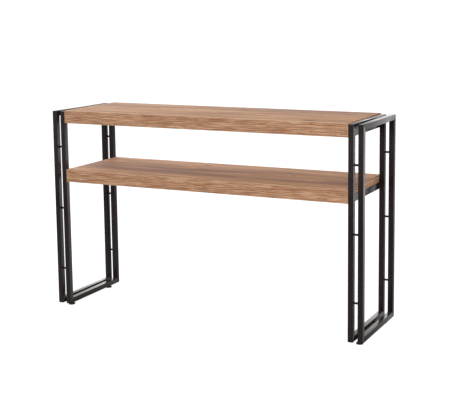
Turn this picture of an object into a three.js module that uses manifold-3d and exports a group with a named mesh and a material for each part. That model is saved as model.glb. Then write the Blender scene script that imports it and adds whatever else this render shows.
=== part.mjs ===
// A console table: two thick wood-faced boards carried between two welded steel end frames.
// Millimetres, +Z up, +X along the table's length, and its front faces -Y.
// The origin is on the floor, under the middle of the table.
import * as THREE from "three";
import { mergeVertices } from "three/addons/utils/BufferGeometryUtils.js";
import Module from "manifold-3d";

const wasm = await Module();
wasm.setup();

// Overall size
const LENGTH = 1300; // over the two outer loops
const DEPTH = 360; // over the legs, front to back
const LOOP_HEIGHT = 780; // of a tube loop, without the feet

// Steel frames
const TUBE = 20; // side of the square tube
const TUBE_WALL = 1.5;
const TUBE_CORNER_RADIUS = 1;
const WELD_GAP = 0.2; // what each tube is short of the mitre, filled by the weld
const LOOP_GAP = 17; // between the outer and the inner loop of one frame
const PIN_DIAMETER = 8;
const PIN_SPACING = 247; // between neighbouring spacer pins, up a leg

// Boards
const BOARD_THICKNESS = 50;
const BOARD_PROUD = 3; // the top board stands this far above the loops
const SHELF_UNDERSIDE = 504; // above the floor
const EDGE_BAND = 2; // thickness of the strips that cover the board edges

// Angles that carry the board ends
const ANGLE_LEG = 25;
const ANGLE_THICKNESS = 2;
const BOARD_SCREW_SPREAD = 200; // between the two screws in one angle

// Feet
const FOOT_DIAMETER = 26;
const FOOT_HEIGHT = 5;
const FOOT_EDGE_CHAMFER = 1;
const FOOT_INSET = 6; // from the tube's centre line, towards the middle of the table
const FRONT_FOOT_SETBACK = 14; // from the front face of the legs to the foot's centre
const BACK_FOOT_SETBACK = 78; // from the back face of the legs to the foot's centre

// Screws
const SCREW_SHANK = 4; // diameter
const SCREW_CLEARANCE = 0.3; // round a shank, in every hole it passes
const BOARD_SCREW_LENGTH = 32;
const PILOT_EXTRA = 2; // how much deeper a screw's hole in the board is than its tip
const FOOT_SCREW_LENGTH = 9;
const SCREW_HEAD_DIAMETER = 8;
const SCREW_HEAD_HEIGHT = 2;
const SCREW_HEAD_CHAMFER = 0.8;
const SCREW_HEAD_SETBACK = 0.5; // from a foot's lower face up to its screw's head
const FOOT_SCREW_SEAT = SCREW_HEAD_SETBACK + SCREW_HEAD_HEIGHT; // above the floor
const RECESS_CLEARANCE = 0.75; // round a screw head, in the underside of a foot

// Fineness of the round shapes, and of the cutting
const ROUND_SEGMENTS = 16;
const FOOT_SEGMENTS = 32;
const CORNER_SEGMENTS = 3;
const DRILL_OVERRUN = 1; // how far a drill starts outside the face that it enters
const SAME_POINT = 1e-4; // corners closer than this are one

// Places that follow from the sizes above
const LOOP_PITCH = TUBE + LOOP_GAP;
const OUTER_LOOP_X = LENGTH / 2 - TUBE / 2; // centre plane of an outer loop
const INNER_LOOP_X = OUTER_LOOP_X - LOOP_PITCH;
const BOARD_END_X = INNER_LOOP_X - TUBE / 2;
const LOOP_CENTRE_Z = FOOT_HEIGHT + LOOP_HEIGHT / 2;
const LEG_Y = DEPTH / 2 - TUBE / 2; // centre line of a leg
const TOP_UNDERSIDE = FOOT_HEIGHT + LOOP_HEIGHT + BOARD_PROUD - BOARD_THICKNESS;
const SIDES = { left: -1, right: 1 };
const BOARDS = { top_board: TOP_UNDERSIDE, shelf_board: SHELF_UNDERSIDE };

const steel = new THREE.MeshStandardMaterial({ color: 0x35302e, roughness: 0.5, metalness: 0.4 });
const oak = new THREE.MeshStandardMaterial({ color: 0xb58a68, roughness: 0.6, metalness: 0 });
const band = new THREE.MeshStandardMaterial({ color: 0xb07f58, roughness: 0.6, metalness: 0 });
const plastic = new THREE.MeshStandardMaterial({ color: 0x1c1b1b, roughness: 0.7, metalness: 0 });
const zinc = new THREE.MeshStandardMaterial({ color: 0xa9a9a6, roughness: 0.35, metalness: 0.9 });

const table = new THREE.Group();

function addMesh(parent, name, geometry, material, x = 0, y = 0, z = 0) {
  const mesh = new THREE.Mesh(geometry, material);
  mesh.name = name;
  mesh.position.set(x, y, z);
  parent.add(mesh);
  return mesh;
}

// A closed geometry as a solid that can be cut.
function solidOf(geometry) {
  const bare = geometry.clone();
  bare.deleteAttribute("normal");
  bare.deleteAttribute("uv");
  const merged = mergeVertices(bare, SAME_POINT);
  return new wasm.Manifold(
    new wasm.Mesh({
      numProp: 3,
      vertProperties: merged.attributes.position.array,
      triVerts: new Uint32Array(merged.index.array),
    }),
  );
}

function geometryOf(solid) {
  const mesh = solid.getMesh();
  const geometry = new THREE.BufferGeometry();
  geometry.setAttribute("position", new THREE.BufferAttribute(mesh.vertProperties, 3));
  geometry.setIndex(new THREE.BufferAttribute(mesh.triVerts, 1));
  geometry.computeVertexNormals();
  return geometry;
}

// The geometry with upright round holes drilled in it, each one { x, y, bottom, top }.
function drilled(geometry, holes) {
  let solid = solidOf(geometry);
  for (const hole of holes) {
    const radius = SCREW_SHANK / 2 + SCREW_CLEARANCE;
    const height = hole.top - hole.bottom;
    const drill = new THREE.CylinderGeometry(radius, radius, height, ROUND_SEGMENTS);
    drill.rotateX(Math.PI / 2);
    drill.translate(hole.x, hole.y, hole.bottom + height / 2);
    solid = solid.subtract(solidOf(drill));
  }
  return geometryOf(solid);
}

// The outline of the tube: a square with round corners, and a square hole.
function tubeSection() {
  const flat = TUBE / 2 - TUBE_CORNER_RADIUS;
  const section = new THREE.Shape();
  section.absarc(flat, flat, TUBE_CORNER_RADIUS, 0, Math.PI / 2);
  section.absarc(-flat, flat, TUBE_CORNER_RADIUS, Math.PI / 2, Math.PI);
  section.absarc(-flat, -flat, TUBE_CORNER_RADIUS, Math.PI, 1.5 * Math.PI);
  section.absarc(flat, -flat, TUBE_CORNER_RADIUS, 1.5 * Math.PI, 2 * Math.PI);
  section.closePath();
  const bore = TUBE / 2 - TUBE_WALL;
  const hole = new THREE.Path();
  hole.moveTo(bore, bore);
  hole.lineTo(-bore, bore);
  hole.lineTo(-bore, -bore);
  hole.lineTo(bore, -bore);
  hole.closePath();
  section.holes.push(hole);
  return section;
}

// A square tube along Z, mitred at both ends. Its +Y face is the long one, on the outside of the loop.
function mitredTube(length) {
  const geometry = new THREE.ExtrudeGeometry(tubeSection(), {
    depth: length,
    bevelEnabled: false,
    curveSegments: CORNER_SEGMENTS,
  });
  geometry.translate(0, 0, -length / 2);
  const place = geometry.attributes.position;
  for (let i = 0; i < place.count; i++) {
    const shortBy = TUBE / 2 - place.getY(i) + WELD_GAP;
    place.setZ(i, Math.sign(place.getZ(i)) * (length / 2 - shortBy));
  }
  return geometry;
}

// One rectangular loop of four mitred tubes, centred on the group's origin, in its YZ plane.
function addLoop(frameName, loopX) {
  const loop = new THREE.Group();
  loop.position.set(loopX, 0, LOOP_CENTRE_Z);
  const railZ = LOOP_HEIGHT / 2 - TUBE / 2;
  const members = [
    { name: "back_leg", turn: 0, length: LOOP_HEIGHT, y: LEG_Y, z: 0 },
    { name: "top_rail", turn: Math.PI / 2, length: DEPTH, y: 0, z: railZ },
    { name: "front_leg", turn: Math.PI, length: LOOP_HEIGHT, y: -LEG_Y, z: 0 },
    { name: "bottom_rail", turn: -Math.PI / 2, length: DEPTH, y: 0, z: -railZ },
  ];
  for (const member of members) {
    const geometry = mitredTube(member.length);
    geometry.rotateX(member.turn);
    addMesh(loop, `${frameName}_${member.name}`, geometry, steel, 0, member.y, member.z);
  }
  table.add(loop);
  return loop;
}

// Three round bars between the outer and the inner leg at each corner of a frame.
function addSpacerPins(sideName, side) {
  const levels = { upper: PIN_SPACING, middle: 0, lower: -PIN_SPACING };
  const corners = { front: -LEG_Y, back: LEG_Y };
  const geometry = new THREE.CylinderGeometry(
    PIN_DIAMETER / 2, PIN_DIAMETER / 2, LOOP_GAP, ROUND_SEGMENTS,
  );
  geometry.rotateZ(Math.PI / 2);
  const gapX = side * (OUTER_LOOP_X - LOOP_PITCH / 2);
  for (const [cornerName, y] of Object.entries(corners)) {
    for (const [levelName, rise] of Object.entries(levels)) {
      const name = `${sideName}_${cornerName}_${levelName}_pin`;
      addMesh(table, name, geometry, steel, gapX, y, LOOP_CENTRE_Z + rise);
    }
  }
}

// Where the screws go up through the angles into a board: { x, y } of each one, by name.
function boardScrewPlaces() {
  const places = {};
  for (const [sideName, side] of Object.entries(SIDES)) {
    const x = side * (BOARD_END_X - ANGLE_LEG / 2);
    places[`${sideName}_front`] = { x, y: -BOARD_SCREW_SPREAD / 2 };
    places[`${sideName}_back`] = { x, y: BOARD_SCREW_SPREAD / 2 };
  }
  return places;
}

// A board between the inner loops, flush with the legs front and back, with a band on each edge.
function addBoard(name, underside) {
  const coreLength = 2 * (BOARD_END_X - EDGE_BAND);
  const coreDepth = DEPTH - 2 * EDGE_BAND;
  const middleZ = underside + BOARD_THICKNESS / 2;
  const core = new THREE.BoxGeometry(coreLength, coreDepth, BOARD_THICKNESS);
  const pilotDepth = BOARD_SCREW_LENGTH - ANGLE_THICKNESS + PILOT_EXTRA;
  const holes = Object.values(boardScrewPlaces()).map(({ x, y }) => (
    { x, y, bottom: -BOARD_THICKNESS / 2 - DRILL_OVERRUN, top: -BOARD_THICKNESS / 2 + pilotDepth }
  ));
  addMesh(table, `${name}_core`, drilled(core, holes), oak, 0, 0, middleZ);

  const longBand = new THREE.BoxGeometry(coreLength, EDGE_BAND, BOARD_THICKNESS);
  const bandY = DEPTH / 2 - EDGE_BAND / 2;
  addMesh(table, `${name}_front_band`, longBand, band, 0, -bandY, middleZ);
  addMesh(table, `${name}_back_band`, longBand, band, 0, bandY, middleZ);

  const endBand = new THREE.BoxGeometry(EDGE_BAND, DEPTH, BOARD_THICKNESS);
  const bandX = BOARD_END_X - EDGE_BAND / 2;
  addMesh(table, `${name}_left_band`, endBand, band, -bandX, 0, middleZ);
  addMesh(table, `${name}_right_band`, endBand, band, bandX, 0, middleZ);
}

// A steel angle welded between the inner legs: one flange under the board, one up against its end.
function addAngle(name, side, underside) {
  const profile = new THREE.Shape();
  profile.moveTo(0, 0);
  profile.lineTo(0, ANGLE_LEG);
  profile.lineTo(-ANGLE_THICKNESS, ANGLE_LEG);
  profile.lineTo(-ANGLE_THICKNESS, ANGLE_THICKNESS);
  profile.lineTo(-ANGLE_LEG, ANGLE_THICKNESS);
  profile.lineTo(-ANGLE_LEG, 0);
  profile.closePath();
  const length = DEPTH - 2 * TUBE;
  const angle = new THREE.ExtrudeGeometry(profile, { depth: length, bevelEnabled: false });
  angle.rotateX(Math.PI / 2);
  angle.translate(0, length / 2, 0);
  if (side < 0) {
    angle.rotateZ(Math.PI);
  }
  const outsideX = side * (BOARD_END_X + ANGLE_THICKNESS);
  const holes = Object.values(boardScrewPlaces())
    .filter(({ x }) => Math.sign(x) === side)
    .map(({ x, y }) => (
      { x: x - outsideX, y, bottom: -DRILL_OVERRUN, top: ANGLE_THICKNESS + DRILL_OVERRUN }
    ));
  addMesh(table, name, drilled(angle, holes), steel, outsideX, 0, underside - ANGLE_THICKNESS);
}

// A pan-head screw that points up. Its origin is under the head's seat, on the screw's axis.
function screwGeometry(length) {
  const head = SCREW_HEAD_DIAMETER / 2;
  const shank = SCREW_SHANK / 2;
  const profile = new THREE.Path();
  profile.moveTo(0, -SCREW_HEAD_HEIGHT);
  profile.lineTo(head - SCREW_HEAD_CHAMFER, -SCREW_HEAD_HEIGHT);
  profile.lineTo(head, -SCREW_HEAD_HEIGHT + SCREW_HEAD_CHAMFER);
  profile.lineTo(head, 0);
  profile.lineTo(shank, 0);
  profile.lineTo(shank, length - SCREW_SHANK);
  profile.lineTo(0, length);
  const screw = new THREE.LatheGeometry(profile.getPoints(), ROUND_SEGMENTS);
  screw.rotateX(Math.PI / 2);
  return screw;
}

function addBoardScrews(boardName, underside) {
  const geometry = screwGeometry(BOARD_SCREW_LENGTH);
  for (const [placeName, { x, y }] of Object.entries(boardScrewPlaces())) {
    const name = `${boardName}_${placeName}_screw`;
    addMesh(table, name, geometry, zinc, x, y, underside - ANGLE_THICKNESS);
  }
}

// A round glide with a stepped hole for its screw. Its origin is on its flat top.
function footGeometry() {
  const outside = FOOT_DIAMETER / 2;
  const recess = SCREW_HEAD_DIAMETER / 2 + RECESS_CLEARANCE;
  const hole = SCREW_SHANK / 2 + SCREW_CLEARANCE;
  const recessTop = FOOT_SCREW_SEAT - FOOT_HEIGHT;
  const profile = new THREE.Path();
  profile.moveTo(hole, recessTop);
  profile.lineTo(recess, recessTop);
  profile.lineTo(recess, -FOOT_HEIGHT);
  profile.lineTo(outside - FOOT_EDGE_CHAMFER, -FOOT_HEIGHT);
  profile.lineTo(outside, -FOOT_HEIGHT + FOOT_EDGE_CHAMFER);
  profile.lineTo(outside, 0);
  profile.lineTo(hole, 0);
  profile.lineTo(hole, recessTop);
  const foot = new THREE.LatheGeometry(profile.getPoints(), FOOT_SEGMENTS);
  foot.rotateX(Math.PI / 2);
  return foot;
}

// Both frames stand on the loop that lies on their +X side: two feet under its bottom rail.
function addFeet(sideName, side, loop) {
  const rail = loop.children.find((mesh) => mesh.name.endsWith("bottom_rail"));
  const x = loop.position.x - side * FOOT_INSET;
  const corners = {
    front: -DEPTH / 2 + FRONT_FOOT_SETBACK,
    back: DEPTH / 2 - BACK_FOOT_SETBACK,
  };
  const wallTop = -TUBE / 2 + TUBE_WALL;
  const holes = Object.values(corners).map((y) => (
    { x: -side * FOOT_INSET, y, bottom: -TUBE / 2 - DRILL_OVERRUN, top: wallTop + DRILL_OVERRUN }
  ));
  rail.geometry = drilled(rail.geometry, holes);
  for (const [cornerName, y] of Object.entries(corners)) {
    addMesh(table, `${sideName}_${cornerName}_foot`, footGeometry(), plastic, x, y, FOOT_HEIGHT);
    const name = `${sideName}_${cornerName}_foot_screw`;
    addMesh(table, name, screwGeometry(FOOT_SCREW_LENGTH), zinc, x, y, FOOT_SCREW_SEAT);
  }
}

for (const [sideName, side] of Object.entries(SIDES)) {
  const outer = addLoop(`${sideName}_outer`, side * OUTER_LOOP_X);
  const inner = addLoop(`${sideName}_inner`, side * INNER_LOOP_X);
  addSpacerPins(sideName, side);
  addFeet(sideName, side, side > 0 ? outer : inner);
}

for (const [boardName, underside] of Object.entries(BOARDS)) {
  addBoard(boardName, underside);
  addBoardScrews(boardName, underside);
  for (const [sideName, side] of Object.entries(SIDES)) {
    addAngle(`${sideName}_${boardName}_angle`, side, underside);
  }
}

export default table;
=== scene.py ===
"""The visible model of a console table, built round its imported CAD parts. Metres, +Z up, front towards -Y.

Each CAD node gets one detailed piece of its own: mitred steel tubes with their welds, spacer pins, angles,
laminated boards with edge bands, glides and screws. The materials are procedural, at real scale.
"""

import math
import random

import bmesh
import bpy
from mathutils import Matrix, Vector


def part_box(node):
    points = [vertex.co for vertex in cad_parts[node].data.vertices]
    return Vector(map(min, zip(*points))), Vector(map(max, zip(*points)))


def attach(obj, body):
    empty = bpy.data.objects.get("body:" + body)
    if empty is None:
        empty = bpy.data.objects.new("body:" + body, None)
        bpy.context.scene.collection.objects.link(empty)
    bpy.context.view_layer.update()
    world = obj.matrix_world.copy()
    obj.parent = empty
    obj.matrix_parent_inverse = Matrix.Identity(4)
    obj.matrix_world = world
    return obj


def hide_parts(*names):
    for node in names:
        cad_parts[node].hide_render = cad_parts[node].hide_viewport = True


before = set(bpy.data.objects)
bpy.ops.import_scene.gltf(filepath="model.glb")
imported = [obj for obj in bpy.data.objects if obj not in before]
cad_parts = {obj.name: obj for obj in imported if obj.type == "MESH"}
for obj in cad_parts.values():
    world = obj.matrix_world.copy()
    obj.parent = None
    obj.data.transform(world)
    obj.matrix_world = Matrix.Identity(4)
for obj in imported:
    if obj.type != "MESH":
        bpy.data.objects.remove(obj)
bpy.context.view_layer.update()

MM = 0.001
SIDES = {"left": -1, "right": 1}
BOARD_SEEDS = {"top_board": 3.7, "shelf_board": 8.2}

# Steel
TUBE_CORNER = 1.0 * MM
TUBE_WALL = 1.5 * MM
BORE_CORNER = 0.6 * MM
MITRE_GROOVE_DEPTH = 0.18 * MM
MITRE_GROOVE_WIDTH = 0.5 * MM
BEAD_RADIUS = 2.0 * MM
BEAD_RIPPLE = 0.07
BEAD_END = 0.15
BEAD_BLUNTNESS = 6
BEAD_RIPPLES_PER_METRE = 700
BEAD_FEWEST_RIPPLES = 4
PIN_FILLET = 1.6 * MM
PIN_FILLET_RIPPLE = 0.12
PIN_FILLET_RIPPLES = 10
ANGLE_THICKNESS = 2.0 * MM
ANGLE_OUTSIDE_RADIUS = 0.5 * MM
ANGLE_INSIDE_RADIUS = 0.7 * MM
ANGLE_TOE_RADIUS = 0.9 * MM
ANGLE_BACK_RADIUS = 0.3 * MM

# Boards
BAND_ROUNDING = 1.8 * MM
END_ROUNDING = 0.4 * MM
CORE_ROUNDING = 0.12 * MM
# A long band is printed where it looks straight out, to within the angle that has this cosine
PRINTED_COSINE = 0.95

# Screws
SCREW_RADIUS = 2.0 * MM
SCREW_NECK = 1.0 * MM
SCREW_POINT = 2 * SCREW_RADIUS
SCREW_TIP = 0.02
SCREW_HEAD_HEIGHT = 2.0 * MM
SCREW_HEAD_RADIUS = 4.0 * MM
SCREW_HEAD_FULLNESS = 0.75
SCREW_TURN_SEED = 7
THREAD_PITCH = 1.8 * MM
THREAD_DEPTH = 0.55 * MM
THREAD_SHARPNESS = 2.2
RECESS_LENGTH = 4.2 * MM
RECESS_WIDTH = 1.0 * MM
RECESS_DEPTH = 1.1 * MM
RECESS_OVERSHOOT = 0.5 * MM
RECESS_TAPER = 0.55
RECESS_WIDTH_TAPER = 0.4

# Feet
FOOT_HOLE_RADIUS = 2.3 * MM
FOOT_RECESS_RADIUS = 4.75 * MM
FOOT_RECESS_TOP = 2.5 * MM
FOOT_CHAMFER = 0.35 * MM
FOOT_EDGE = 1.2 * MM
FOOT_GROOVE_SETBACK = 1.0 * MM
FOOT_GROOVE_WIDTH = 0.8 * MM
FOOT_GROOVE_FLOOR = 0.4 * MM
FOOT_GROOVE_DEPTH = 0.15 * MM
FOOT_DRAFT = 0.25 * MM
FOOT_TOP_CHAMFER = 0.4 * MM

# Fineness of round shapes
CORNER_STEPS = 6
ROUND_STEPS = 32
FOOT_STEPS = 48
BEAD_STEPS = 10
STEPS_PER_RIPPLE = 4
HEAD_STEPS = 8
THREAD_STEP = 0.3 * MM
BEVEL_STEPS = 5
# Steeper edges than this are shaded sharp
SHARP_ANGLE = math.radians(32)

X_AXIS = Vector((1, 0, 0))
Y_AXIS = Vector((0, 1, 0))
Z_AXIS = Vector((0, 0, 1))
SQUARE_CORNERS = ((-1, -1), (1, -1), (1, 1), (-1, 1))


# ---------------------------------------------------------------- outlines and shells


def rounded_outline(corners):
    """A closed 2-D outline through (u, v, radius) corners, each one rounded by its own radius."""
    points = []
    for index, (u, v, radius) in enumerate(corners):
        corner = Vector((u, v))
        before = Vector(corners[index - 1][:2]) - corner
        after = Vector(corners[(index + 1) % len(corners)][:2]) - corner
        before.normalize()
        after.normalize()
        half_angle = before.angle(after) / 2
        centre = corner + (before + after).normalized() * (radius / math.sin(half_angle))
        tangent = radius / math.tan(half_angle)
        start = corner + before * tangent - centre
        end = corner + after * tangent - centre
        for step in range(CORNER_STEPS + 1):
            points.append(centre + start.lerp(end, step / CORNER_STEPS).normalized() * radius)
    return points


def square_outline(half, radius):
    """The rounded outline of a square tube that is half wide on each side of its middle."""
    return rounded_outline([(u * half, v * half, radius) for u, v in SQUARE_CORNERS])


def add_shell(bm, rings, closed=False):
    """Skins a row of rings with equal numbers of points. A closed row joins its last ring to its first."""
    made = [[bm.verts.new(point) for point in ring] for ring in rings]
    pairs = list(zip(made, made[1:]))
    if closed:
        pairs.append((made[-1], made[0]))
    else:
        bm.faces.new(made[0])
        bm.faces.new(made[-1])
    for one, other in pairs:
        for index in range(len(one)):
            following = (index + 1) % len(one)
            bm.faces.new((one[index], one[following], other[following], other[index]))


def circle(centre, across, beside, radius, steps=ROUND_STEPS):
    """A ring of points round centre, in the plane of the directions across and beside."""
    turns = [2 * math.pi * step / steps for step in range(steps)]
    return [centre + radius * (math.cos(turn) * across + math.sin(turn) * beside) for turn in turns]


def add_bead(bm, start, end):
    """A weld bead from start to end: a rippled rope with tapered ends, half sunk in the corner it fills."""
    along = end - start
    across = along.orthogonal().normalized()
    beside = along.normalized().cross(across)
    ripples = max(BEAD_FEWEST_RIPPLES, round(along.length * BEAD_RIPPLES_PER_METRE))
    steps = ripples * STEPS_PER_RIPPLE
    rings = []
    for step in range(steps + 1):
        share = step / steps
        taper = (1 - abs(2 * share - 1) ** BEAD_BLUNTNESS) ** 0.5
        ripple = 1 + BEAD_RIPPLE * math.sin(2 * math.pi * ripples * share)
        radius = BEAD_RADIUS * max(BEAD_END, taper) * ripple
        rings.append(circle(start + along * share, across, beside, radius, BEAD_STEPS))
    add_shell(bm, rings)


def mesh_from(bm, name):
    """Turns the shells into a mesh whose faces look outward."""
    bmesh.ops.recalc_face_normals(bm, faces=bm.faces)
    mesh = bpy.data.meshes.new(name)
    bm.to_mesh(mesh)
    bm.free()
    return mesh


def add_object(name, data):
    """Puts a mesh, light or camera in the scene."""
    made = bpy.data.objects.new(name, data)
    bpy.context.scene.collection.objects.link(made)
    return made


def place_piece(mesh, node, location=(0, 0, 0), turn=0.0):
    """Adds the visible piece that stands for one CAD node. It rides on the table's only body."""
    mesh.shade_smooth()
    mesh.set_sharp_from_angle(angle=SHARP_ANGLE)
    piece = add_object(node + "_visible", mesh)
    piece.location = location
    piece.rotation_euler.z = turn
    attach(piece, "root")
    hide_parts(node)


def finish_piece(bm, node, materials):
    """Turns the shells, which already lie in the CAD node's place, into its visible piece."""
    mesh = mesh_from(bm, node + "_visible")
    for material in materials:
        mesh.materials.append(material)
    place_piece(mesh, node)


# ---------------------------------------------------------------- materials


class Graph:
    """A short way to write a material's node graph."""

    def __init__(self, name):
        self.material = bpy.data.materials.new(name)
        self.material.use_nodes = True
        self.tree = self.material.node_tree
        self.shader = self.tree.nodes["Principled BSDF"]

    def feed(self, socket, value):
        """Links a node's output to a socket, or sets the socket's own value."""
        if isinstance(value, bpy.types.NodeSocket):
            self.tree.links.new(value, socket)
        else:
            socket.default_value = value

    def node(self, kind, inputs=(), output=0, **settings):
        """Adds a node, sets its options, feeds its inputs by name or place, and gives one output."""
        made = self.tree.nodes.new("ShaderNode" + kind)
        for option, value in settings.items():
            setattr(made, option, value)
        for key, value in dict(inputs).items():
            self.feed(made.inputs[key], value)
        return made.outputs[output]

    def math(self, operation, *values):
        return self.node("Math", enumerate(values), operation=operation)

    def place(self):
        """The object's own coordinates, in metres."""
        return self.node("TexCoord", output="Object")

    def split(self, vector):
        """The x, y and z of a vector."""
        made = self.tree.nodes.new("ShaderNodeSeparateXYZ")
        self.feed(made.inputs[0], vector)
        return tuple(made.outputs)

    def noise(self, place, scale, detail, roughness=0.5):
        """Noise round 0.5, with scale features per metre: one number, or one for each axis."""
        scale = scale if isinstance(scale, tuple) else (scale, scale, scale)
        stretched = self.node("VectorMath", {0: place, 1: scale}, operation="MULTIPLY")
        inputs = {"Vector": stretched, "Scale": 1.0, "Detail": detail, "Roughness": roughness}
        return self.node("TexNoise", inputs)

    def rescale(self, value, source, target=(0.0, 1.0), smooth=True):
        """Maps the range source to the range target, and holds its ends."""
        kind = "SMOOTHSTEP" if smooth else "LINEAR"
        inputs = enumerate((value, *source, *target))
        return self.node("MapRange", inputs, interpolation_type=kind)

    def ramp(self, value, positions, colours):
        """A colour that follows value through one colour at each position."""
        made = self.tree.nodes.new("ShaderNodeValToRGB")
        while len(made.color_ramp.elements) < len(colours):
            made.color_ramp.elements.new(1.0)
        for element, position, colour in zip(made.color_ramp.elements, positions, colours):
            element.position = position
            element.color = (*colour, 1.0)
        self.feed(made.inputs[0], value)
        return made.outputs[0]

    def cover(self, colour, share, over):
        """Lays a plain colour over another one, as thickly as share says."""
        return self.node("MixRGB", {0: share, 1: over, 2: (*colour, 1.0)}, blend_type="MIX")

    def bump(self, relief, height, over=None):
        """The normal of a relief of 0..1 that stands height metres proud, on top of another normal."""
        inputs = {"Height": relief, "Distance": height, "Strength": 1.0}
        if over is not None:
            inputs["Normal"] = over
        return self.node("Bump", inputs)

    def shade(self, **inputs):
        """Feeds the shader's inputs, named with _ for each space, and gives the material."""
        for name, value in inputs.items():
            self.feed(self.shader.inputs[name.replace("_", " ")], value)
        return self.material


# Each plain material's darkest and lightest colour
COAT_COLOURS = ((0.0100, 0.0062, 0.0063), (0.0160, 0.0105, 0.0106))
PLASTIC_COLOURS = ((0.008, 0.008, 0.008), (0.018, 0.017, 0.017))
ZINC_COLOURS = ((0.50, 0.49, 0.46), (0.66, 0.66, 0.64))
BAND_CORE_COLOURS = ((0.52, 0.34, 0.22), (0.62, 0.43, 0.29))
# Most of a noise lies in this range
NOISE_RANGE = (0.3, 0.7)
# How much rougher the coat is at its grit, and the print at its lines
GRIT_DULLING = 0.08
LINE_DULLING = 0.05


def powder_coat():
    """Satin black-brown powder coat: fine orange peel and slightly uneven gloss."""
    graph = Graph("black_powder_coat")
    place = graph.place()
    cloud = graph.noise(place, scale=14, detail=3)
    peel = graph.noise(place, scale=950, detail=1)
    grit = graph.noise(place, scale=3200, detail=1)
    uneven = graph.rescale(cloud, NOISE_RANGE, (0.17, 0.22))
    surface = graph.bump(peel, height=0.010 * MM)
    return graph.shade(
        Base_Color=graph.ramp(cloud, NOISE_RANGE, COAT_COLOURS),
        Roughness=graph.math("ADD", uneven, graph.math("MULTIPLY", grit, GRIT_DULLING)),
        IOR=1.35,
        Specular_Tint=(1.0, 0.93, 0.91, 1.0),
        Normal=graph.bump(grit, height=0.002 * MM, over=surface),
    )


def moulded_plastic():
    """Matt black polyethylene with a fine eroded texture."""
    graph = Graph("black_plastic")
    texture = graph.noise(graph.place(), scale=1800, detail=3, roughness=0.6)
    return graph.shade(
        Base_Color=graph.ramp(texture, (0.3, 0.8), PLASTIC_COLOURS),
        Roughness=graph.rescale(texture, (0.2, 0.8), (0.50, 0.68)),
        Normal=graph.bump(texture, height=0.03 * MM),
    )


def zinc_plate():
    """Bright zinc: cloudy plating with fine turned lines."""
    graph = Graph("zinc_plate")
    place = graph.place()
    cloud = graph.noise(place, scale=420, detail=3)
    lines = graph.noise(place, scale=(300, 300, 9000), detail=1)
    return graph.shade(
        Base_Color=graph.ramp(cloud, NOISE_RANGE, ZINC_COLOURS),
        Metallic=1.0,
        Roughness=graph.rescale(cloud, (0.25, 0.75), (0.24, 0.40)),
        Normal=graph.bump(lines, height=0.008 * MM),
    )


def band_edge():
    """The cut edge of an edge band: its pale unprinted core, with faint scraper marks."""
    graph = Graph("band_edge")
    place = graph.place()
    cloud = graph.noise(place, scale=60, detail=3)
    marks = graph.noise(place, scale=900, detail=1)
    return graph.shade(
        Base_Color=graph.ramp(cloud, NOISE_RANGE, BAND_CORE_COLOURS),
        Roughness=graph.rescale(marks, NOISE_RANGE, (0.42, 0.52)),
        Normal=graph.bump(marks, height=0.01 * MM),
    )


# ---------------------------------------------------------------- oak print


ALONG_X, ALONG_Y, ALONG_Z = 0, 1, 2
FACE_TONES = {
    "deep": (0.275, 0.142, 0.072),
    "mid": (0.475, 0.268, 0.152),
    "pale": (0.630, 0.388, 0.238),
    "grey": (0.225, 0.131, 0.114),
    "line": (0.190, 0.095, 0.050),
    "pore": (0.140, 0.072, 0.040),
    "knot": (0.060, 0.028, 0.016),
}
EDGE_TONES = {
    "deep": (0.320, 0.157, 0.087),
    "mid": (0.478, 0.275, 0.165),
    "pale": (0.625, 0.400, 0.263),
    "grey": (0.420, 0.260, 0.175),
    "line": (0.270, 0.112, 0.054),
    "pore": (0.160, 0.070, 0.036),
}
# How much lighter each board's face is printed than FACE_TONES. The shelf's face is painted lighter: painted
# light that makes up for the shade the top board casts on it
FACE_PAINTED_LIGHT = {"top_board": 1.0, "shelf_board": 1.27}

# Scales are features per metre along the grain, across it and through the board. How far the grain
# sways and wobbles and the spacing of its lines are in metres. Shares and depths are from 0 to 1.
FACE_GRAIN = {
    "strand_scale": (4.5, 130, 130),
    "broad_share": 0.40,
    "sway_scale": (1.1, 5.0, 5.0),
    "sway": 0.075,
    "wobble_scale": (5, 40, 40),
    "wobble": 0.010,
    "line_spacing": 0.0105,
    "line_depth": 0.80,
}
EDGE_GRAIN = {
    "strand_scale": (15, 215, 215),
    "broad_share": 0.08,
    "sway_scale": (2.4, 6.0, 6.0),
    "sway": 0.020,
    "wobble_scale": (17, 50, 50),
    "wobble": 0.007,
    "line_spacing": 0.0070,
    "line_depth": 0.88,
}
END_GRAIN = {**EDGE_GRAIN, "sway": 0.050, "line_spacing": 0.0098, "line_depth": 0.70}
BROAD_SCALE = (2.6, 24, 24)
TONE_POSITIONS = (0.37, 0.50, 0.63)

# Growth lines: their raggedness in spacings, how narrow they are, and the zones where they show
LINE_RAGGEDNESS = 0.75
LINE_NARROWNESS = 2.5
ZONE_SCALE = (5, 45, 45)
ZONE_RANGE = (0.30, 0.55)

# Pores: short fine dashes, and how much deeper their hollows are than those of the lines
PORE_SCALE = (55, 1300, 1300)
PORE_RANGE = (0.60, 0.72)
PORE_DEPTH = 0.55
PORE_HOLLOWNESS = 2.0

# Grey streaks: (depth, metres off the board's middle where they are strongest) of each surface, their
# pattern, and over which distance they fade and to what share
FACE_STREAKS = {"top_board": (0.60, 0.13), "shelf_board": (0.78, -0.03)}
EDGE_STREAKS = (0.30, 0.0)
END_STREAKS = (0.40, 0.0)
STREAK_SCALE = (1.6, 13, 13)
STREAK_RANGE = (0.41, 0.57)
STREAK_FADE = (0.04, 0.11)
STREAK_FADED = 0.08

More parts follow.
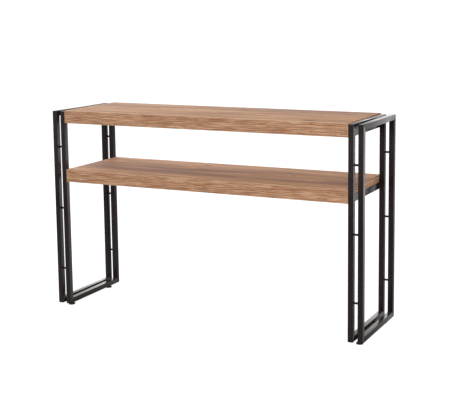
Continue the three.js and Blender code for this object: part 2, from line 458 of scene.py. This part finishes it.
# Knots: (metres along, metres across, size in metres) of each one, how many sizes it reaches along and
# across, the range in which its dark eye fades, how hard it pushes the grain, and how dark it is
FACE_KNOTS = {
    "top_board": [(0.43, -0.145, 0.013), (-0.30, 0.040, 0.008), (0.05, 0.110, 0.007)],
    "shelf_board": [(-0.12, 0.120, 0.008), (0.30, 0.020, 0.006)],
}
KNOT_LENGTH = 7
KNOT_WIDTH = 2.2
KNOT_EYE = (0.02, 0.20)
KNOT_PUSH = 0.75
KNOT_DEPTH = 0.8


def along_grain(graph, along, across):
    """Object coordinates as (along the grain, across it, through the board)."""
    axes = graph.split(graph.place())
    through = ({ALONG_X, ALONG_Y, ALONG_Z} - {along, across}).pop()
    return graph.node("CombineXYZ", {0: axes[along], 1: axes[across], 2: axes[through]})


def knot_field(graph, length, width, knots):
    """(how far the grain is pushed aside, how dark it is) round each knot."""
    push, dark = 0.0, 0.0
    for along, across, size in knots:
        ahead = graph.math("SUBTRACT", length, along)
        aside = graph.math("SUBTRACT", width, across)
        ahead_share = graph.math("MULTIPLY", ahead, 1 / (KNOT_LENGTH * size))
        aside_share = graph.math("MULTIPLY", aside, 1 / (KNOT_WIDTH * size))
        ahead_square = graph.math("POWER", ahead_share, 2.0)
        aside_square = graph.math("POWER", aside_share, 2.0)
        squares = graph.math("ADD", ahead_square, aside_square)
        near = graph.math("POWER", math.e, graph.math("MULTIPLY", squares, -1.0))
        pushed = graph.math("MULTIPLY", near, graph.math("MULTIPLY", aside, -KNOT_PUSH))
        push = graph.math("ADD", push, pushed)
        dark = graph.math("MAXIMUM", dark, graph.rescale(squares, KNOT_EYE, (1.0, 0.0)))
    return push, dark


def swaying(graph, place, scale, most):
    """A slow noise from minus to plus half of most."""
    noise = graph.noise(place, scale, detail=2)
    return graph.math("MULTIPLY", graph.math("SUBTRACT", noise, 0.5), most)


def bent_grain(graph, place, push, grain):
    """(how far each point lies across the curving grain, its coordinates along that grain)."""
    ahead, aside, through = graph.split(place)
    sway = swaying(graph, place, grain["sway_scale"], grain["sway"])
    wobble = swaying(graph, place, grain["wobble_scale"], grain["wobble"])
    bent = graph.math("ADD", aside, graph.math("ADD", sway, graph.math("ADD", wobble, push)))
    return bent, graph.node("CombineXYZ", {0: ahead, 1: bent, 2: through})


def strand_colour(graph, place, strands, tones, grain):
    """The ground colour: fine strands over broad bands, from deep to pale."""
    broad = graph.noise(place, BROAD_SCALE, detail=2)
    broad_part = graph.math("MULTIPLY", broad, grain["broad_share"])
    fine_part = graph.math("MULTIPLY", strands, 1 - grain["broad_share"])
    blend = graph.math("ADD", broad_part, fine_part)
    return graph.ramp(blend, TONE_POSITIONS, (tones["deep"], tones["mid"], tones["pale"]))


def grey_streaks(graph, place, width, depth, centre):
    """How much grey shows: long streaks, strongest near the line that is centre metres off the middle."""
    streaks = graph.noise(place, STREAK_SCALE, detail=3, roughness=0.6)
    share = graph.rescale(streaks, STREAK_RANGE, (0.0, depth))
    aside = graph.math("ABSOLUTE", graph.math("SUBTRACT", width, centre))
    region = graph.rescale(aside, STREAK_FADE, (1.0, STREAK_FADED))
    return graph.math("MULTIPLY", share, region)


def growth_lines(graph, bent, place, strands, grain):
    """(dark lines at an even spacing with ragged edges, how much of them the print shows)."""
    shift = graph.math("MULTIPLY", strands, LINE_RAGGEDNESS * grain["line_spacing"])
    ragged = graph.math("ADD", bent, shift)
    turns = graph.math("MULTIPLY", ragged, 2 * math.pi / grain["line_spacing"])
    wave = graph.rescale(graph.math("SINE", turns), (-1.0, 1.0), smooth=False)
    lines = graph.math("POWER", wave, LINE_NARROWNESS)
    zones = graph.noise(place, ZONE_SCALE, detail=3, roughness=0.6)
    strength = graph.rescale(zones, ZONE_RANGE, (0.0, grain["line_depth"]))
    return lines, graph.math("MULTIPLY", lines, strength)


def oak(name, along, across, shift, tones, grain, streaks, knots=()):
    """Oak-print laminate with its grain along one axis, moved by shift to its own place in the print."""
    graph = Graph(name)
    plain = along_grain(graph, along, across)
    length, width, _ = graph.split(plain)
    shifted = graph.node("VectorMath", {0: plain, 1: shift}, operation="ADD")
    push, dark = knot_field(graph, length, width, knots)
    bent, place = bent_grain(graph, shifted, push, grain)
    strands = graph.noise(place, grain["strand_scale"], detail=4, roughness=0.62)
    lines, line_share = growth_lines(graph, bent, place, strands, grain)
    pores = graph.noise(place, PORE_SCALE, detail=1)
    pore_share = graph.rescale(pores, PORE_RANGE, (0.0, PORE_DEPTH))

    colour = strand_colour(graph, place, strands, tones, grain)
    colour = graph.cover(tones["grey"], grey_streaks(graph, place, width, *streaks), over=colour)
    colour = graph.cover(tones["line"], line_share, over=colour)
    colour = graph.cover(tones["pore"], pore_share, over=colour)
    if knots:
        colour = graph.cover(tones["knot"], graph.math("MULTIPLY", dark, KNOT_DEPTH), over=colour)

    gloss = graph.rescale(strands, NOISE_RANGE, (0.60, 0.70))
    hollows = graph.math("ADD", lines, graph.math("MULTIPLY", pore_share, PORE_HOLLOWNESS))
    surface = graph.bump(strands, height=0.05 * MM)
    return graph.shade(
        Base_Color=colour,
        Roughness=graph.math("ADD", gloss, graph.math("MULTIPLY", lines, LINE_DULLING)),
        IOR=1.16,
        Normal=graph.bump(hollows, height=-0.04 * MM, over=surface),
    )


def board_materials(board, seed):
    """The face, long edge and end materials of one board, each from its own place in the print. The shelf's
    face tones carry painted light.
    """
    # Scaling the shelf's face tones up is painted light: it makes up for the shade under the top board
    painted_light = FACE_PAINTED_LIGHT[board]
    tones = {name: tuple(part * painted_light for part in tone) for name, tone in FACE_TONES.items()}
    face_place = (seed, seed, 0)
    edge_place = (seed + 2, 0, seed)
    end_place = (seed + 4, 0, seed)
    return {
        "face": oak(
            f"{board}_face", ALONG_X, ALONG_Y, face_place, tones, FACE_GRAIN,
            FACE_STREAKS[board], FACE_KNOTS[board],
        ),
        "edge": oak(f"{board}_edge", ALONG_X, ALONG_Z, edge_place, EDGE_TONES, EDGE_GRAIN, EDGE_STREAKS),
        "end": oak(f"{board}_end", ALONG_Y, ALONG_Z, end_place, EDGE_TONES, END_GRAIN, END_STREAKS),
    }


# ---------------------------------------------------------------- steel frames


MEMBERS = {
    "front_leg": (Z_AXIS, -Y_AXIS),
    "back_leg": (Z_AXIS, Y_AXIS),
    "top_rail": (Y_AXIS, Z_AXIS),
    "bottom_rail": (Y_AXIS, -Z_AXIS),
}


def loop_box(loop):
    """The low and high corner of a whole loop, from its four tubes."""
    boxes = [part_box(f"{loop}_{member}") for member in MEMBERS]
    low = Vector(min(box[0][axis] for box in boxes) for axis in range(3))
    high = Vector(max(box[1][axis] for box in boxes) for axis in range(3))
    return low, high


def mitred_rings(low, high, along, outward):
    """The rings of one mitred tube: its outside, its bore, and a shallow groove at each mitre."""
    centre = (low + high) / 2
    size = high - low
    half = size.x / 2
    length = abs(size.dot(along))
    centre = centre + outward * (abs(size.dot(outward)) / 2 - half)

    def ring(outline, end, setback=0.0):
        points = []
        for across, out in outline:
            reach = end * (length / 2 - (half - out) - setback)
            points.append(centre + X_AXIS * across + outward * out + along * reach)
        return points

    outside = square_outline(half, TUBE_CORNER)
    grooved = square_outline(half - MITRE_GROOVE_DEPTH, TUBE_CORNER - MITRE_GROOVE_DEPTH)
    bore = square_outline(half - TUBE_WALL, BORE_CORNER)
    return [
        ring(outside, -1, MITRE_GROOVE_WIDTH),
        ring(outside, 1, MITRE_GROOVE_WIDTH),
        ring(grooved, 1),
        ring(bore, 1),
        ring(bore, -1),
        ring(grooved, -1),
    ]


def add_corner_beads(bm, low, high, outward):
    """The weld beads in a loop's two inside corners at one leg."""
    tube = high.x - low.x
    middle_x = (low.x + high.x) / 2
    reach = X_AXIS * (tube / 2 - TUBE_CORNER)
    y = (high.y if outward.y > 0 else low.y) - outward.y * tube
    for z in (low.z + tube, high.z - tube):
        corner = Vector((middle_x, y, z))
        add_bead(bm, corner - reach, corner + reach)


def make_loop(loop, steel):
    """The four mitred tubes of one loop. Its legs carry the weld beads of the inside corners."""
    low, high = loop_box(loop)
    for member, (along, outward) in MEMBERS.items():
        bm = bmesh.new()
        add_shell(bm, mitred_rings(low, high, along, outward), closed=True)
        if member.endswith("leg"):
            add_corner_beads(bm, low, high, outward)
        finish_piece(bm, f"{loop}_{member}", [steel])


def make_pin(node, steel):
    """A round bar across the gap, with a rippled fillet weld at each end."""
    low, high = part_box(node)
    centre = (low + high) / 2
    radius = (high.z - low.z) / 2
    half = (high.x - low.x) / 2
    weld = []
    for step in range(CORNER_STEPS + 1):
        turn = math.pi / 2 * step / CORNER_STEPS
        reach = half - PIN_FILLET * (1 - math.cos(turn))
        weld.append((reach, radius + PIN_FILLET * (1 - math.sin(turn))))
    profile = [(-reach, around) for reach, around in weld] + weld[::-1]
    rings = []
    for reach, around in profile:
        middle = centre + X_AXIS * reach
        ring = circle(middle, Y_AXIS, Z_AXIS, around)
        swell = PIN_FILLET_RIPPLE * (around - radius)
        for index, point in enumerate(ring):
            ripple = swell * math.sin(PIN_FILLET_RIPPLES * 2 * math.pi * index / ROUND_STEPS)
            ring[index] = point + (point - middle).normalized() * ripple
        rings.append(ring)
    bm = bmesh.new()
    add_shell(bm, rings)
    finish_piece(bm, node, [steel])


def make_angle(node, side, steel):
    """A rolled angle with rounded toes, welded to the inner legs at both ends."""
    low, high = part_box(node)
    leg = high.z - low.z
    outline = rounded_outline([
        (0, 0, ANGLE_OUTSIDE_RADIUS),
        (leg, 0, ANGLE_BACK_RADIUS),
        (leg, ANGLE_THICKNESS, ANGLE_TOE_RADIUS),
        (ANGLE_THICKNESS, ANGLE_THICKNESS, ANGLE_INSIDE_RADIUS),
        (ANGLE_THICKNESS, leg, ANGLE_TOE_RADIUS),
        (0, leg, ANGLE_BACK_RADIUS),
    ])
    outside_x = high.x if side > 0 else low.x
    rings = []
    for y in (low.y, high.y):
        rings.append([Vector((outside_x - side * u, y, low.z + v)) for u, v in outline])
    bm = bmesh.new()
    add_shell(bm, rings)
    for y in (low.y, high.y):
        foot = Vector((outside_x, y, low.z + BEAD_RADIUS))
        add_bead(bm, foot, foot + Z_AXIS * (leg - 2 * BEAD_RADIUS))
    finish_piece(bm, node, [steel])


# ---------------------------------------------------------------- boards


BAND_DIRECTIONS = {"front": -Y_AXIS, "back": Y_AXIS, "left": -X_AXIS, "right": X_AXIS}


def add_rounded_box(bm, low, high, rounding, chosen):
    """A box whose chosen edges are rounded; chosen gets each edge's middle as -1..1 shares of the box."""
    centre = (low + high) / 2
    half = (high - low) / 2
    matrix = Matrix.Translation(centre) @ Matrix.Diagonal((2 * half.x, 2 * half.y, 2 * half.z, 1))
    bmesh.ops.create_cube(bm, size=1.0, matrix=matrix)
    edges = []
    for edge in bm.edges:
        middle = (edge.verts[0].co + edge.verts[1].co) / 2 - centre
        if chosen(Vector((middle.x / half.x, middle.y / half.y, middle.z / half.z))):
            edges.append(edge)
    bmesh.ops.bevel(bm, geom=edges, offset=rounding, segments=BEVEL_STEPS, profile=0.5, affect="EDGES")


def make_core(board, materials):
    """A board's core, printed on top and underneath, with hardly broken edges."""
    node = f"{board}_core"
    low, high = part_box(node)
    bm = bmesh.new()
    add_rounded_box(bm, low, high, CORE_ROUNDING, lambda share: abs(share.z) > 0.5)
    finish_piece(bm, node, [materials["face"]])


def make_band(board, place, outward, materials):
    """An edge band with rounded outer edges: printed on its face, pale where its thickness shows."""
    node = f"{board}_{place}_band"
    low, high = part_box(node)
    bm = bmesh.new()
    is_long = abs(outward.y) > 0.5
    rounding = BAND_ROUNDING if is_long else END_ROUNDING
    add_rounded_box(bm, low, high, rounding, lambda share: share.dot(outward) > 0.5)
    bmesh.ops.recalc_face_normals(bm, faces=bm.faces)
    for face in bm.faces:
        is_printed = not is_long or face.normal.dot(outward) > PRINTED_COSINE
        face.material_index = 0 if is_printed else 1
    print_name = "edge" if is_long else "end"
    finish_piece(bm, node, [materials[print_name], materials["cut"]])


# ---------------------------------------------------------------- screws and feet


def thread_profile(height, length):
    """The shank's root radius and its share of thread at a height above the seat: neck, thread, point."""
    root_radius = SCREW_RADIUS - THREAD_DEPTH
    if height < SCREW_NECK:
        return root_radius, 0.0
    if height > length - SCREW_POINT:
        left = max(SCREW_TIP, (length - height) / SCREW_POINT)
        return root_radius * left, left
    return root_radius, 1.0


def thread_ring(height, length):
    """The shank's outline at a height above the seat. Its crest moves on one turn for each pitch."""
    root_radius, share = thread_profile(height, length)
    ring = []
    for index in range(ROUND_STEPS):
        turn = 2 * math.pi * index / ROUND_STEPS
        phase = (height / THREAD_PITCH - index / ROUND_STEPS) % 1.0
        crest = max(0.0, 1 - abs(2 * phase - 1) * THREAD_SHARPNESS)
        reach = root_radius + THREAD_DEPTH * share * crest
        ring.append(Vector((reach * math.cos(turn), reach * math.sin(turn), height)))
    return ring


def screw_mesh(length, zinc):
    """A pan-head screw with a cross recess, pointing up, with its origin on the seat of its head."""
    rings = []
    for step in range(1, HEAD_STEPS + 1):
        turn = math.pi / 2 * step / HEAD_STEPS
        around = SCREW_HEAD_RADIUS * math.sin(turn) ** SCREW_HEAD_FULLNESS
        rings.append(circle(-Z_AXIS * SCREW_HEAD_HEIGHT * math.cos(turn), X_AXIS, Y_AXIS, around))
    rings.append(circle(Vector((0, 0, 0)), X_AXIS, Y_AXIS, SCREW_RADIUS))
    steps = round(length / THREAD_STEP)
    for step in range(1, steps + 1):
        rings.append(thread_ring(length * step / steps, length))
    bm = bmesh.new()
    add_shell(bm, rings)
    cut = cut_recess(mesh_from(bm, "screw"))
    cut.materials.append(zinc)
    return cut


def cut_recess(mesh):
    """The screw's mesh with a tapered cross cut into the crown of its head."""
    cutter = bmesh.new()
    for is_crosswise in (False, True):
        rings = []
        for depth, share in ((-RECESS_OVERSHOOT, 1.0), (RECESS_DEPTH, RECESS_TAPER)):
            z = -SCREW_HEAD_HEIGHT + depth
            half_length = RECESS_LENGTH / 2 * share
            half_width = RECESS_WIDTH / 2 * (1 - RECESS_WIDTH_TAPER * (1 - share))
            if is_crosswise:
                half_length, half_width = half_width, half_length
            rings.append([Vector((u * half_length, v * half_width, z)) for u, v in SQUARE_CORNERS])
        add_shell(cutter, rings)
    body = add_object("screw_blank", mesh)
    tool = add_object("screw_cross", mesh_from(cutter, "cross"))
    cut = body.modifiers.new("recess", "BOOLEAN")
    cut.operation = "DIFFERENCE"
    cut.solver = "EXACT"
    cut.use_self = True
    cut.object = tool
    graph = bpy.context.evaluated_depsgraph_get()
    made = bpy.data.meshes.new_from_object(body.evaluated_get(graph))
    for item in (body, tool):
        bpy.data.objects.remove(item)
    return made


def make_screws(zinc):
    """All the screws, which share one mesh for each length. Each stops at its own turn of the driver."""
    draw = random.Random(SCREW_TURN_SEED)
    meshes = {}
    for node in sorted(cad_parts):
        if not node.endswith("_screw"):
            continue
        low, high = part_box(node)
        length = high.z - low.z - SCREW_HEAD_HEIGHT
        key = round(length / MM)
        if key not in meshes:
            meshes[key] = screw_mesh(length, zinc)
        seat = Vector(((low.x + high.x) / 2, (low.y + high.y) / 2, low.z + SCREW_HEAD_HEIGHT))
        place_piece(meshes[key], node, seat, draw.uniform(0, math.pi))


def make_foot(node, plastic):
    """A moulded glide: drafted side, rounded lower edge, grooved underside and a recess for its screw."""
    low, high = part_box(node)
    centre = Vector(((low.x + high.x) / 2, (low.y + high.y) / 2, low.z))
    radius = (high.x - low.x) / 2
    height = high.z - low.z
    groove = radius - FOOT_EDGE - FOOT_GROOVE_SETBACK
    profile = [
        (FOOT_HOLE_RADIUS, FOOT_RECESS_TOP),
        (FOOT_RECESS_RADIUS, FOOT_RECESS_TOP),
        (FOOT_RECESS_RADIUS, FOOT_CHAMFER),
        (FOOT_RECESS_RADIUS + FOOT_CHAMFER, 0.0),
        (groove - FOOT_GROOVE_WIDTH / 2, 0.0),
        (groove - FOOT_GROOVE_FLOOR / 2, FOOT_GROOVE_DEPTH),
        (groove + FOOT_GROOVE_FLOOR / 2, FOOT_GROOVE_DEPTH),
        (groove + FOOT_GROOVE_WIDTH / 2, 0.0),
    ]
    for step in range(CORNER_STEPS + 1):
        turn = math.pi / 2 * step / CORNER_STEPS
        around = radius - FOOT_EDGE * (1 - math.sin(turn))
        profile.append((around, FOOT_EDGE * (1 - math.cos(turn))))
    profile += [
        (radius - FOOT_DRAFT, height - FOOT_TOP_CHAMFER),
        (radius - FOOT_DRAFT - FOOT_TOP_CHAMFER, height),
        (FOOT_HOLE_RADIUS, height),
    ]
    rings = [circle(centre + Z_AXIS * z, X_AXIS, Y_AXIS, around, FOOT_STEPS) for around, z in profile]
    bm = bmesh.new()
    add_shell(bm, rings, closed=True)
    finish_piece(bm, node, [plastic])


# ---------------------------------------------------------------- the table


steel = powder_coat()
for side_name, side in SIDES.items():
    for place in ("outer", "inner"):
        make_loop(f"{side_name}_{place}", steel)
    for board in BOARD_SEEDS:
        make_angle(f"{side_name}_{board}_angle", side, steel)

plastic = moulded_plastic()
for node in sorted(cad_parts):
    if node.endswith("_pin"):
        make_pin(node, steel)
    if node.endswith("_foot"):
        make_foot(node, plastic)
make_screws(zinc_plate())

cut_material = band_edge()
for board, seed in BOARD_SEEDS.items():
    materials = board_materials(board, seed)
    materials["cut"] = cut_material
    make_core(board, materials)
    for place, outward in BAND_DIRECTIONS.items():
        make_band(board, place, outward, materials)


# ---------------------------------------------------------------- studio


FLOOR_SIZE = 600.0
FLOOR_COLOUR = (0.25, 0.25, 0.25, 1.0)

# The floor's glow as the camera sees it, and what dims it for reflections: the part that is left beside the
# table, how far that reaches, and the range of y where the floor turns from dark in front to bright behind
FLOOR_SEEN = 0.90
FLOOR_NEAR_SHARE = 0.30
FLOOR_NEAR_RANGE = (0.6, 3.2)
FLOOR_FRONT_RANGE = (-1.8, 0.5)

# The world: the direction of its brightest side, the cosine at which it starts to brighten towards that
# side, and its strength there, elsewhere, and as the camera sees it
WORLD_BRIGHTEST_SIDE = (-0.85, 0.527, 0.0)
WORLD_FADE_START = 0.35
WORLD_BRIGHT = 2.7
WORLD_DIM = 0.75
WORLD_SEEN = 1.05
WORLD_COLOUR = (1.0, 0.99, 0.98, 1.0)

# The camera's place is in metres, its angles in degrees, its lens and sensor in millimetres
CAMERA_PLACE = (1.8256, -3.5258, 1.2105)
CAMERA_AZIMUTH = 24.99
CAMERA_ELEVATION = 7.69
CAMERA_ROLL = -0.46
CAMERA_LENS = 82.88
CAMERA_SENSOR = 36.0
CAMERA_SHIFT = (-0.0833, -0.1456)


def floor_glow(graph):
    """Even to the camera; to reflections, darker near the table and in front of it."""
    x, y, _ = graph.split(graph.place())
    squares = graph.math("ADD", graph.math("MULTIPLY", x, x), graph.math("MULTIPLY", y, y))
    distance = graph.math("SQRT", squares)
    nearness = graph.rescale(distance, FLOOR_NEAR_RANGE, (FLOOR_NEAR_SHARE, 1.0))
    mirrored = graph.math("MULTIPLY", graph.rescale(y, FLOOR_FRONT_RANGE), nearness)
    is_seen = graph.node("LightPath", output="Is Camera Ray")
    extra = graph.math("MULTIPLY", is_seen, graph.math("SUBTRACT", FLOOR_SEEN, mirrored))
    return graph.math("ADD", mirrored, extra)


def make_floor():
    """A pale matt floor, far wider than any view."""
    bm = bmesh.new()
    bmesh.ops.create_grid(bm, x_segments=1, y_segments=1, size=FLOOR_SIZE / 2)
    mesh = mesh_from(bm, "studio_floor")
    graph = Graph("pale_floor")
    mesh.materials.append(graph.shade(
        Base_Color=FLOOR_COLOUR,
        Roughness=0.95,
        Specular_IOR_Level=0.1,
        Emission_Color=(1, 1, 1, 1),
        Emission_Strength=floor_glow(graph),
    ))
    add_object("studio_floor", mesh)


def make_softbox(name, place, target, width, height, power):
    """A rectangular light that faces its target. Its power is in watts."""
    data = bpy.data.lights.new(name, "AREA")
    data.shape = "RECTANGLE"
    data.size = width
    data.size_y = height
    data.energy = power
    light = add_object(name, data)
    light.location = place
    aim = Vector(target) - Vector(place)
    light.rotation_euler = aim.to_track_quat("-Z", "Y").to_euler()


def make_world():
    """A white studio: even to the camera; to reflections, brightest behind the table and to its left."""
    world = bpy.data.worlds.new("studio")
    world.use_nodes = True
    tree = world.node_tree
    place = tree.nodes.new("ShaderNodeTexCoord")
    toward = tree.nodes.new("ShaderNodeVectorMath")
    toward.operation = "DOT_PRODUCT"
    toward.inputs[1].default_value = WORLD_BRIGHTEST_SIDE
    tree.links.new(place.outputs["Generated"], toward.inputs[0])
    fade = tree.nodes.new("ShaderNodeMapRange")
    fade.inputs["From Min"].default_value = WORLD_FADE_START
    fade.inputs["From Max"].default_value = 1.0
    fade.inputs["To Min"].default_value = WORLD_DIM
    fade.inputs["To Max"].default_value = WORLD_BRIGHT
    tree.links.new(toward.outputs["Value"], fade.inputs["Value"])
    seen = tree.nodes.new("ShaderNodeLightPath")
    strength = tree.nodes.new("ShaderNodeMix")
    tree.links.new(seen.outputs["Is Camera Ray"], strength.inputs["Factor"])
    tree.links.new(fade.outputs["Result"], strength.inputs["A"])
    strength.inputs["B"].default_value = WORLD_SEEN
    background = tree.nodes["Background"]
    background.inputs["Color"].default_value = WORLD_COLOUR
    tree.links.new(strength.outputs[0], background.inputs["Strength"])
    bpy.context.scene.world = world


def make_camera():
    """Stands to the right of the table's front, looking slightly down."""
    azimuth = math.radians(CAMERA_AZIMUTH)
    elevation = math.radians(CAMERA_ELEVATION)
    roll = math.radians(CAMERA_ROLL)
    forward = Vector((
        -math.sin(azimuth) * math.cos(elevation),
        math.cos(azimuth) * math.cos(elevation),
        -math.sin(elevation),
    ))
    level = Vector((math.cos(azimuth), math.sin(azimuth), 0))
    upright = level.cross(forward)
    right = math.cos(roll) * level + math.sin(roll) * upright
    up = -math.sin(roll) * level + math.cos(roll) * upright
    data = bpy.data.cameras.new("camera")
    data.sensor_width = CAMERA_SENSOR
    data.lens = CAMERA_LENS
    data.shift_x, data.shift_y = CAMERA_SHIFT
    camera = add_object("camera", data)
    turned = Matrix((right, up, -forward)).transposed().to_4x4()
    camera.matrix_world = Matrix.Translation(CAMERA_PLACE) @ turned
    bpy.context.scene.camera = camera


make_floor()
make_world()
make_softbox("key", place=(1.7, -3.8, 1.9), target=(0, 0, 0.5), width=2.6, height=1.5, power=88)
make_softbox("side", place=(-3.6, 0.6, 0.95), target=(0, 0, 0.6), width=1.8, height=0.8, power=60)
make_camera()
bpy.context.scene.view_settings.view_transform = "Standard"
